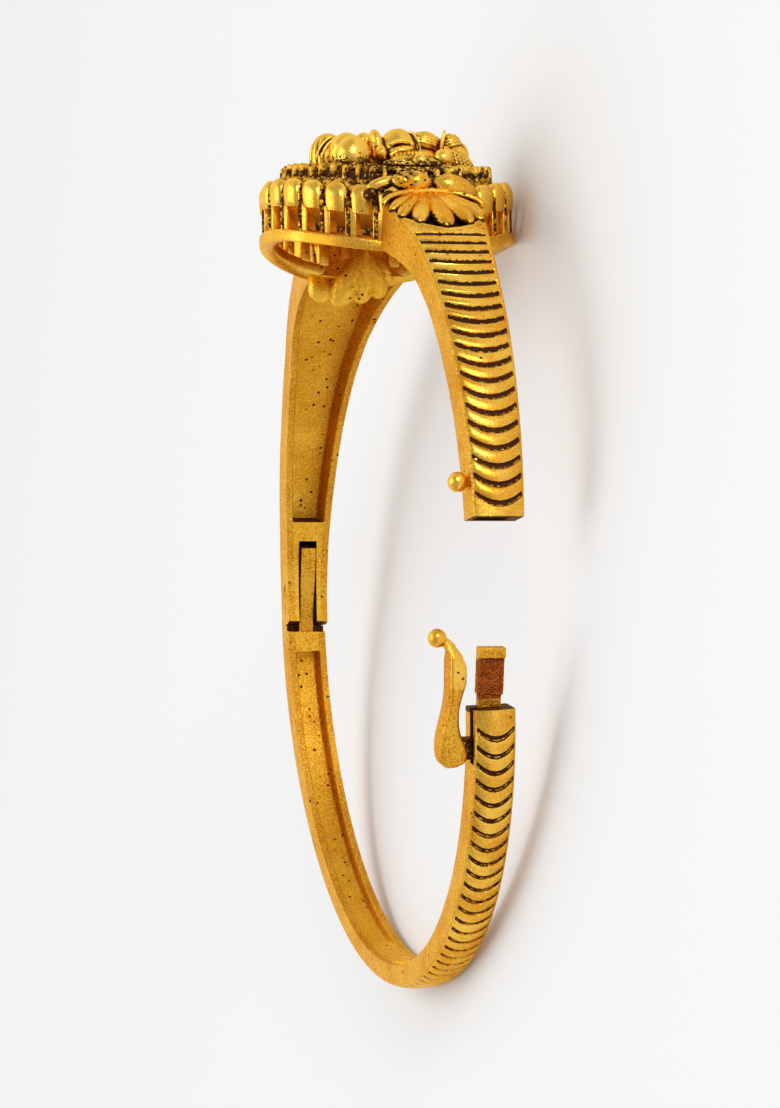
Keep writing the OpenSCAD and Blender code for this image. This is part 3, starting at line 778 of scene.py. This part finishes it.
# Shoulder fans: petals from a hub against the medallion, a raised arch over them, two shells,
# their ends, and dark beads


def surface_point(angle, y, lift=0.0):
    """A point over the arm's outer face at an angle and a place along the wrist."""
    half = arm_width(angle) / 2
    share = 1 + (CROWN * (1 - (y / half) ** 2) - shoulder_droop(angle) * (y / half) ** 2 + lift) / ARM_T
    return Vector(band_point(angle, share, y, UPPER)[:3])


def leaf(foot, tip, width, height, out, fullest=0.62, veins=0, vein_depth=0.0, under=1.0):
    """A rounded leaf from foot to tip, widest at a share of its length, standing towards out;
    under flattens its lower side."""
    foot, tip = Vector(foot), Vector(tip)
    piece = ball(24, 20, turn=(0, pi / 2, 0))
    place = points_of(piece)
    along = (place[:, 0] + 1) / 2
    swell = np.where(along < fullest, np.sin(np.clip(along / fullest, 0, 1) * pi / 2) ** 0.8,
            np.sqrt(np.clip(1 - ((along - fullest) / (1 - fullest)) ** 2, 0, 1)))
    ring = np.sqrt(np.clip(1 - place[:, 0] ** 2, 1e-9, 1))
    axis = tip - foot
    length = axis.length
    axis.normalize()
    side = Vector(out).cross(axis).normalized()
    rise = axis.cross(side).normalized()
    across, up = place[:, 1] / ring, place[:, 2] / ring
    vein = np.clip(np.sin((along * 1.4 + np.abs(across) * 0.8) * pi * veins), 0, 1) ** 3
    groove = 1.0 - vein_depth * vein
    up = np.where(up < 0, up * under, up)
    local = np.stack([along * length, across * swell * width / 2, up * swell * height / 2 * groove], 1)
    set_points(piece, local @ np.array([axis[:], side[:], rise[:]]) + np.array(foot[:]))
    # Painted shade on the lower side and along the edges, where leaves sit and overlap; the veins are darkened
    # too
    edge = (np.abs(across) - 0.78) / 0.18 * (0.35 + 0.65 * (along < 0.9))
    low = 1.0 - (local[:, 2] / height - 0.04) / 0.22
    darken(piece, np.maximum(np.maximum(low, (1 - groove) * 2.6), 0.85 * edge))
    return piece


def tube(points, radius, sides=12, ends=0.6):
    """A round bar along points, its ends drawn in; radius is one number or one for each point."""
    path = [Vector(p) for p in points]
    radii = [radius] * len(path) if isinstance(radius, float) else list(radius)
    last = len(path) - 1
    rings = []
    for i, here in enumerate(path):
        ahead = (path[min(i + 1, last)] - path[max(i - 1, 0)]).normalized()
        side = ahead.cross(Vector((0.31, 0.17, 0.93))).normalized()
        rise = ahead.cross(side)
        r = radii[i] * (ends if i in (0, last) else 1.0)
        rings.append([(here + side * r * cos(t) + rise * r * sin(t))[:]
                for t in np.arange(sides) * 2 * pi / sides])
    return bent_grid("tube", rings)


# Fan petals: the tip's place along the wrist and its angle, the width
FAN = [(-0.15, 53.0, 1.85), (2.05, 54.5, 1.6), (-2.25, 54.7, 1.6), (3.35, 56.6, 1.3), (-3.4, 57.4, 1.35),
       (3.9, 59.8, 1.1), (-3.7, 61.2, 1.15)]
# Shells and their ends: foot, tip, width, height, outward, where fullest, veins and their depth
SHELLS = [((12.7, 0.75, 30.35), (12.6, -2.9, 30.6), 1.95, 2.1, (1.0, 0, 0.15), 0.42, 7, 0.4),
        ((12.75, 0.45, 30.55), (12.3, 4.4, 29.6), 2.15, 2.2, (1.0, 0, 0.2), 0.4),
        ((12.0, -1.9, 30.9), (11.6, -4.7, 30.0), 1.1, 1.2, (1.0, 0, 0.3), 0.5),
        ((12.0, 3.0, 30.4), (11.2, 5.3, 28.7), 1.0, 1.1, (1.0, 0, 0.3), 0.5)]
BEADS = [((11.7, -4.35, 29.55), 0.62), ((12.5, -3.0, 29.3), 0.55), ((11.9, -3.6, 29.9), 0.4)]


def shoulder_fan(name):
    pieces = []
    hub = surface_point(69.6, 0.35, -0.1)
    for y, angle, width in FAN:
        tip = surface_point(angle, y)
        out = Vector((cos(radians(angle)), 0.0, sin(radians(angle))))
        pieces.append(leaf(hub + (tip - hub) * 0.05, tip, width, 1.4, out, 0.76, under=0.35))
    arch = [(13.15 + 0.9 * abs(cos(t)) ** 3, 0.3 + 4.2 * cos(t), 28.05 + 1.65 * sin(t) ** 0.8)
            for t in np.linspace(0.02, 0.98, 25) * pi]
    pieces.append(tube(arch, 0.27))
    pieces += [leaf(*shell) for shell in SHELLS]
    for middle, radius in BEADS:
        bead = ball(20, 12, radius, middle)
        place = points_of(bead)
        place[:, 2] = middle[2] + (place[:, 2] - middle[2]) * 0.9
        set_points(bead, place)
        darken(bead, 0.78 + 0.2 * np.sin(place[:, 1] * 9) * np.cos(place[:, 2] * 11))
        pieces.append(bead)
    return joined(name, pieces)


near_fan = shoulder_fan("near_fan")
far_fan = shoulder_fan("far_fan")
far_fan.data.transform(Matrix.Rotation(pi, 4, "Z"))


# Raised relief on the medallion: a bird with a ribbed wing and tail, buds and leaves. Its
# forms are laid over each other and melted into one cast skin.
GROUND_R, GROUND_Z0, GROUND_Z1 = 7.9, PLATE_Z1 + 0.04, 33.0


def swelling(middle, radii, tilt=0.0, ribs=0, rib_depth=0.0, level=False):
    """An egg-shaped form; ribs run up it, or lie level across it."""
    form = ball(64, 40)
    place = points_of(form)
    if ribs:
        turn = place[:, 2] * pi * ribs / 2 if level else np.arctan2(place[:, 1], place[:, 0]) * ribs / 2
        shrink = (1 - rib_depth * (1 - np.abs(np.sin(turn))) ** 2)[:, None]
        place[:, :3 if level else 2] *= shrink
    set_points(form, place * np.array(radii))
    form.data.transform(Matrix.Translation(middle) @ Matrix.Rotation(radians(tilt), 4, "X"))
    return form


# Each swelling: middle, radii, tilt, ribs, their depth, whether they lie level
BUDS = [((-1.4, -4.6, 34.5), (1.65, 1.6, 2.1), 0, 14, 0.12), ((2.2, -3.4, 34.15), (1.5, 1.5, 1.75)),
        ((1.6, -3.6, 34.3), (1.35, 1.55, 1.95), 12), ((-1.4, -2.7, 36.1), (0.6, 0.55, 0.5)),
        ((-1.6, -1.5, 35.9), (0.8, 0.75, 0.9), -15, 9, 0.12), ((-1.6, -1.9, 34.6), (1.2, 1.1, 1.2))]
NECK_HEAD_BEAK = [((0.4, -0.9, 35.3), (1.1, 0.62, 1.45), 8), ((0.2, 0.9, 34.9), (1.75, 1.6, 1.95), -8),
        ((-0.6, 0.6, 33.9), (2.2, 2.1, 1.6)), ((1.6, 0.9, 34.75), (1.0, 1.15, 0.5), 10),
        ((1.9, -0.9, 34.4), (0.9, 0.5, 0.8)), ((2.6, 1.0, 33.5), (1.6, 1.6, 0.8))]
# The breast, then the wing: a scaled leaf, a narrow spike and a cross-ribbed tip
BREAST_WING = [((4.1, 1.95, 33.45), (0.78, 0.78, 0.8)), ((3.0, 4.2, 33.95), (0.85, 0.85, 0.85)),
        ((2.2, 3.3, 33.3), (1.6, 1.9, 0.9)), ((-0.2, 3.55, 35.75), (1.05, 1.4, 1.0), -14, 7, 0.1, True),
        ((-0.4, 3.2, 34.5), (1.3, 1.6, 1.0)), ((1.0, 4.7, 35.75), (0.3, 0.17, 1.05), -12),
        ((0.4, 5.55, 35.55), (1.05, 0.95, 1.0), 18, 7, 0.22, True),
        ((-0.2, 6.55, 35.05), (1.0, 0.62, 0.95), 24), ((0.6, 5.9, 34.2), (1.3, 1.15, 1.3))]
# The far side of the ground, which closes the picture seen from behind
FAR_BUDS = [((-4.2, 1.2, 33.6), (1.5, 1.9, 1.5), 0, 12, 0.1), ((-4.4, -3.0, 33.2), (1.2, 1.2, 1.3)),
        ((-3.6, 4.6, 33.3), (1.3, 1.4, 1.2), 20, 10, 0.1)]


def relief_forms():
    forms = [turned_ring("ground", [(0.3, GROUND_Z0), (GROUND_R, GROUND_Z0), (GROUND_R, GROUND_Z1 - 0.3),
            (0.3, GROUND_Z1)], 0.25, 5)]
    # Leaves round the edge, a second row between them further in
    for a in range(0, 360, 30):
        for foot, tip, width, height, veins in (
                (polar(3.8, a, GROUND_Z1 - 0.1), polar(7.6, a + 7, GROUND_Z1 + 0.1), 1.8, 1.4, 7),
                (polar(3.0, a + 15, GROUND_Z1), polar(6.2, a + 17, GROUND_Z1 + 0.2), 1.1, 1.2, 6)):
            forms.append(leaf(foot, tip, width, height, (0, 0, 1), 0.6, veins, 0.3))
    forms += [swelling(*bud) for bud in BUDS]
    # Ridges nested round the large bud, and a collar of small grains at its foot
    for k, (reach, thick) in enumerate(((1.72, 0.13), (2.05, 0.13), (2.38, 0.12))):
        forms.append(tube([(1.0 - 0.5 * k, -3.6 - reach * sin(t) * 0.98, 33.9 + reach * 1.02 * cos(t))
                for t in np.linspace(0.35, 1.45, 16)], thick, 8))
    for k in range(9):
        forms.append(swelling((3.3 - 0.05 * (k - 4) ** 2, -5.2 + 0.42 * k, 33.25), (0.28, 0.22, 0.26)))
    forms += [swelling(*form) for form in NECK_HEAD_BEAK]
    # Hood, feathers at the throat, crescent across the head, the wattle and folds of the neck
    for reach, thick, first in ((1.8, 0.16, 0.05), (2.08, 0.15, 0.6)):
        forms.append(tube([(0.5, 0.85 + reach * sin(t), 34.75 + reach * 1.1 * cos(t))
                for t in np.linspace(first, 2.1, 22)], thick, 10))
    for k in range(7):
        forms.append(swelling((3.0, 0.2 + 0.33 * k, 34.05 + 0.05 * k), (0.26, 0.13, 0.34)))
    forms.append(tube([(2.05, 0.9 + 1.05 * cos(t), 35.0 + 0.55 * sin(t))
            for t in np.linspace(0.3, 2.9, 16)], 0.2, 10))
    forms.append(tube([(2.3, 0.75 + 0.95 * cos(t), 34.1 + 0.5 * sin(t))
            for t in np.linspace(0.1, 3.0, 16)], 0.17, 10))
    for k in range(4):
        forms.append(tube([(1.5, -1.35 + 0.3 * k, 34.0), (1.35, -1.3 + 0.3 * k, 34.9),
                (0.9, -1.2 + 0.26 * k, 35.7)], 0.13, 8))
    forms += [swelling(*form) for form in BREAST_WING]
    # Tail: beaded ribs spreading down from the wing
    for k in range(7):
        top = Vector((2.3 - 0.12 * k, 4.55 + 0.33 * k, 35.1 - 0.12 * k))
        foot = Vector((2.9 - 0.3 * k, 4.7 + 0.47 * k, 32.9))
        beads = [top.lerp(foot, t) + Vector((0.25 * sin(t * pi), 0, 0)) for t in np.linspace(0, 1, 15)]
        forms.append(tube(beads, [0.19 + 0.05 * cos(i * pi) for i in range(15)], 10))
    # Ledge at each side of the band, two bars one over the other
    for turn in (0, 180):
        for r, z, thick in ((7.0, 33.75, 0.27), (7.6, 33.3, 0.3)):
            forms.append(tube([polar(r, turn + a, z) for a in np.linspace(-16, 27, 14)], thick, 10))
    return forms + [swelling(*bud) for bud in FAR_BUDS]


relief = joined("relief_cast", relief_forms())
cast_surface(relief, 0.08, 1, 14, 2.3)
finish_modifier(relief, "DECIMATE", ratio=0.55)
# Old polish packed round the foot of the forms, thinning out in specks towards the top
chance = np.random.default_rng(11)
x, y, z = points_of(relief).T
packed = np.clip((33.9 + 0.7 * np.sin(y * 1.7) ** 2 - z) / 1.3, 0, 1)
packed *= 1.0 - 0.7 * np.clip((y - 3.4) / 0.8, 0, 1)
darken(relief, np.where(chance.random(len(packed)) < 0.7 * packed, 0.9, 0.3 * packed))


# Safety lever: swept from its round foot to its neck, a soft fold along its left side.
# Rows are height, left edge, right edge, half depth at the back and at the front.
LEVER_ROWS = [(-3.36, -3.8, -2.95, 0.9, 0.9), (-3.24, -4.05, -2.5, 1.1, 1.1), (-3.06, -4.25, -2.15, 1.2, 1.2),
        (-2.3, -4.46, -1.98, 1.25, 1.25), (-1.5, -4.43, -2.28, 1.28, 1.28), (-0.8, -4.32, -2.6, 1.3, 1.3),
        (0.06, -4.08, -2.74, 1.3, 1.3), (1.2, -3.76, -2.72, 1.3, 1.3), (2.06, -3.62, -2.5, 1.3, 1.3),
        (2.9, -3.58, -2.2, 1.3, 1.3), (3.5, -3.58, -2.04, 1.3, 1.3), (4.2, -3.58, -1.98, 1.3, 1.3),
        (4.9, -3.56, -2.08, 1.28, 1.28), (5.4, -3.5, -2.36, 1.15, 1.24), (5.96, -3.48, -2.78, 0.75, 0.8),
        (6.3, -3.68, -3.04, 0.5, 0.55), (6.6, -4.0, -3.3, 0.4, 0.42)]
LEVER_X, LEVER_Y, LEVER_Z = HALF_W + 1.3, -3.3, -2.0
STUD_BALL = (LEVER_X + 0.12, -2.57, 4.38)


def lever_ring(z, left, right, back, front):
    """One cross-section of the lever: a box with soft corners, the back one at the left softest."""
    ring = []
    middle, half = (left + right) / 2, (right - left) / 2
    for t in np.arange(28) * 2 * pi / 28:
        c, s = cos(t), sin(t)
        soft = 0.62 if c < 0 and s < 0 else 0.42
        y = middle + half * copysign(abs(c) ** soft, c)
        deep = front * (1.0 - 0.12 * (0.5 + (y - middle) / (2 * half))) if s > 0 else back
        ring.append([LEVER_X + deep * copysign(abs(s) ** soft, s), y, z])
    return ring


def smooth_rows(rows, steps):
    """Rows of numbers read off a smooth curve through them, by height."""
    table = np.array(rows)
    heights = np.linspace(table[0, 0], table[-1, 0], steps)
    columns = [heights]
    for k in range(1, table.shape[1]):
        value = np.interp(heights, table[:, 0], table[:, k])
        for _ in range(3):
            value[1:-1] = 0.25 * value[:-2] + 0.5 * value[1:-1] + 0.25 * value[2:]
        columns.append(value)
    return np.stack(columns, 1)


lever = bent_grid("safety_lever_cast", [lever_ring(*row) for row in smooth_rows(LEVER_ROWS, 70)])
neck = tube([(LEVER_X, -2.9, 5.4), (LEVER_X, -3.2, 5.95), (LEVER_X, -3.55, 6.35), (LEVER_X, -4.15, 6.7)],
        [0.6, 0.46, 0.4, 0.38], 16)
grip = ball(40, 24, 0.74, (LEVER_X, -4.23, 6.75))
combine(lever, neck, "UNION")
combine(lever, grip, "UNION")
# Pocket for the stud's ball, open towards the band, and the fork over the lug
combine(lever, ball(32, 20, 0.92, STUD_BALL))
combine(lever, box((STUD_BALL[0] - 0.9, STUD_BALL[1], 3.48), (STUD_BALL[0] + 0.9, 0, 5.3)))
combine(lever, box((LEVER_X - 0.57, LEVER_Y - 0.93, LEVER_Z - 3), (LEVER_X + 0.57, 0, LEVER_Z + 1.15)))
cast_surface(lever, 0.06, 3, 12, 0.35)

clasp = cad_form("clasp_tongue", LOWER_PLACE)
cast_surface(clasp, 0.05, 2, 12, 1.5)
stud = cad_form("catch_stud", UPPER_PLACE)
cast_surface(stud, 0.05, 3)
lug = box((LEVER_X - 0.45, LEVER_Y, LEVER_Z - 0.85), (LEVER_X + 0.45, -1.35, LEVER_Z + 0.85))
combine(lug, primitive(MESH.primitive_cylinder_add, vertices=48, radius=0.85, depth=0.9,
        location=(LEVER_X, LEVER_Y, LEVER_Z), rotation=(0, pi / 2, 0)), "UNION")
lug.name = "lever_lug"
bevel(lug, 0.08, 2)
# Painted shade in the slot between the lever's prongs, where the lug sits
darken(lug, 0.7)

# Lobes of the swelling where the far arm runs in under the medallion: foot, tip and width
LOBES = [((-8.4, 0.6, 27.9), (-10.0, -2.1, 23.2), 2.5), ((-8.2, 0.4, 28.0), (-9.9, 0.1, 23.4), 2.3),
        ((-8.4, 0.4, 27.9), (-9.9, 1.9, 23.9), 2.2), ((-8.8, 0.8, 27.6), (-9.8, 2.9, 25.2), 1.6)]
lobes = [leaf(foot, tip, width, 2.0, (1.0, 0, -0.25), 0.6, 3, 0.12, 0.6) for foot, tip, width in LOBES]
far_swell = joined("far_swell", lobes + [swelling((-9.7, 0.0, 26.0), (0.9, 2.3, 1.9), 6),
        swelling((-9.9, -3.3, 24.6), (0.7, 1.1, 1.15), 15)])
cast_surface(far_swell, 0.1, 3, 14, 1.6)


# Faces whose middles lie in these boxes are made black: painted shade in the narrow gaps, sockets and facing
# ends
GAP_Y = TONGUE_W / 2 + 0.3
for piece, low, high in (
        (far_arm, (-32.3, -GAP_Y, HINGE_SPLIT + 0.3), (-HALF_W - 0.05, GAP_Y, 7.0)),
        (far_arm, (-32.3, -1.5, HINGE_SPLIT - 2), (-HALF_W - 0.02, 1.5, PIN_Z - KNUCKLE_R * 0.88)),
        (lower_half, (-32.3, -1.5, HINGE_SPLIT - 1.0), (-HALF_W - 0.02, 1.5, HINGE_SPLIT + 1.5)),
        (lower_half, (31.2, -1.64, -3.3), (32.35, -1.1, 3.2)),
        (lower_half, (30.2, -9, 0.9), (32.0, 9, 1.25)),
        (near_arm, (29.0, -9, 1.1), (34.0, 9, 1.45)),
        (near_arm, (HALF_W + 0.3, -1.6, 1.0), (HALF_W + 2.25, 1.1, 6.6))):
    place = points_of(piece)
    for face in piece.data.polygons:
        middle = place[list(face.vertices)].mean(0)
        if all(low[k] < middle[k] < high[k] for k in range(3)):
            face.material_index = BLACK
# The tongue's flat sides, which face the slot walls, are black as painted shade in the gap
for face in hinge_tongue.data.polygons:
    face.material_index = BLACK if abs(face.normal.y) > 0.8 else SATIN

for piece in (near_arm, far_arm, base_ring):
    lay_down(piece, UPPER_PLACE, "upper", "upper_band", BAND_METALS)
lay_down(far_swell, UPPER_PLACE, "upper", "upper_band", [sand_cast], 80)
for piece in (near_fan, far_fan):
    lay_down(piece, UPPER_PLACE, "upper", "upper_band", [polished], 60)
for piece, metal in ((petal_tier, polished), (tier_wall, speckled), (plate, satin), (tooth_ring, speckled),
        (tooth_wall, speckled)):
    lay_down(piece, UPPER_PLACE, "upper", "medallion", [metal], 60)
lay_down(relief, UPPER_PLACE, "upper", "relief", [polished], 80)
lay_down(stud, UPPER_PLACE, "upper", "catch_stud", [polished], 80)
for piece in (lower_half, hinge_tongue, lug):
    lay_down(piece, LOWER_PLACE, "lower", "lower_band", BAND_METALS)

# The clasp shows wear in its middle; the lever's foot takes the darker satin and its left side the darker gold,
# as painted shade
standing = points_of(clasp)
lay_down(clasp, LOWER_PLACE, "lower", "clasp_tongue", [worn_gold, satin], 80)
for face in clasp.data.polygons:
    height = standing[face.vertices[0], 2]
    face.material_index = 1 if height > 4.95 or height < 1.75 and face.index % 3 else 0
standing = points_of(lever)
facing = [face.normal.y for face in lever.data.polygons]
lay_down(lever, LOWER_PLACE, "lever", "safety_lever", [polished, satin, darker_gold], 80)
for face, side in zip(lever.data.polygons, facing):
    x, y, z = standing[list(face.vertices)].mean(0)
    # Painted shade: the lower front takes the darker satin, the side facing left the darker gold
    if z < 5.8:
        in_shade = z + 0.35 * sin(x * 9.0) * sin(y * 13.0) < 2.9
        face.material_index = 2 if side < -0.8 else 1 if in_shade else 0
for name in ("hinge_pin", "lever_pin"):
    nodes[name].data.materials.clear()
    nodes[name].data.materials.append(satin)


# Floor and light
PALE = (0.905, 0.905, 0.905, 1.0)
paper = bpy.data.materials.new("pale_paper")
paper.use_nodes = True
shader = paper.node_tree.nodes["Principled BSDF"].inputs
for label, value in (("Base Color", PALE), ("Roughness", 0.9), ("Specular IOR Level", 0.1)):
    shader[label].default_value = value
start()
MESH.primitive_grid_add(x_subdivisions=4, y_subdivisions=4, size=6.0)
floor = bpy.context.object
floor.name = "floor"
floor.data.materials.append(paper)
floor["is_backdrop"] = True

# Square studio lights turned to the bangle: size, power, and place over the floor in metres
AIM = Vector((0.0, 0.0, 0.01))
for name, size, power, place in (("overhead", 0.7, 2.0, (0.0, 0.0, 0.8)),
        ("front", 0.3, 2.0, (-0.62, -0.58, 0.17))):
    data = bpy.data.lights.new(name, "AREA")
    data.shape = "SQUARE"
    data.size, data.energy = size, power
    light = in_scene(name, data)
    light.location = place
    light.rotation_euler = (AIM - Vector(place)).to_track_quat("-Z", "Y").to_euler()

# Brighter behind the bangle than in front of it
BRIGHT_SIDE = (0.96, 0.11, 0.1)
world = bpy.data.worlds.new("studio")
world.use_nodes = True
sky = world.node_tree
toward = sky.nodes.new("ShaderNodeVectorMath")
toward.operation = "DOT_PRODUCT"
toward.inputs[1].default_value = BRIGHT_SIDE
feed(sky, toward.inputs[0], add_node(sky, "TexCoord")["Generated"])
background = sky.nodes["Background"].inputs
background["Color"].default_value = (1.0, 1.0, 1.0, 1.0)
feed(sky, background["Strength"], ranged(sky, toward.outputs["Value"], -0.3, 0.9, 0.54, 1.07))
scene.world = world
aim_camera()
scene.view_settings.view_transform = "Standard"

low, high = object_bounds()
